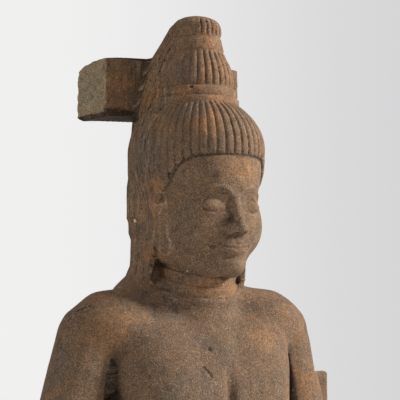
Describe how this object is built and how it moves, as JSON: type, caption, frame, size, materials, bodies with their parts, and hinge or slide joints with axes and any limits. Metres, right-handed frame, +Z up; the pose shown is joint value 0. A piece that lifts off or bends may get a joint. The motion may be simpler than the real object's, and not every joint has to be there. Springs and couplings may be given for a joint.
{
  "type": "stone bust of vishnu",
  "caption": "Carved sandstone bust of a deity with combed hair, tall ridged hair knot, broken arch fragment behind the head and cut upper arms, standing on its flat underside.",
  "frame": {"origin": "centre of the flat underside, below the middle of the head and neck", "axes": "+Z up, the face looks along -Y, +X is the figure's own left"},
  "size_m": [0.5221, 0.2798, 0.6317],
  "materials": {
    "stone": "weathered brown sandstone, matte"
  },
  "bodies": {
    "root": {"bust": "stone"}
  },
  "joints": []
}
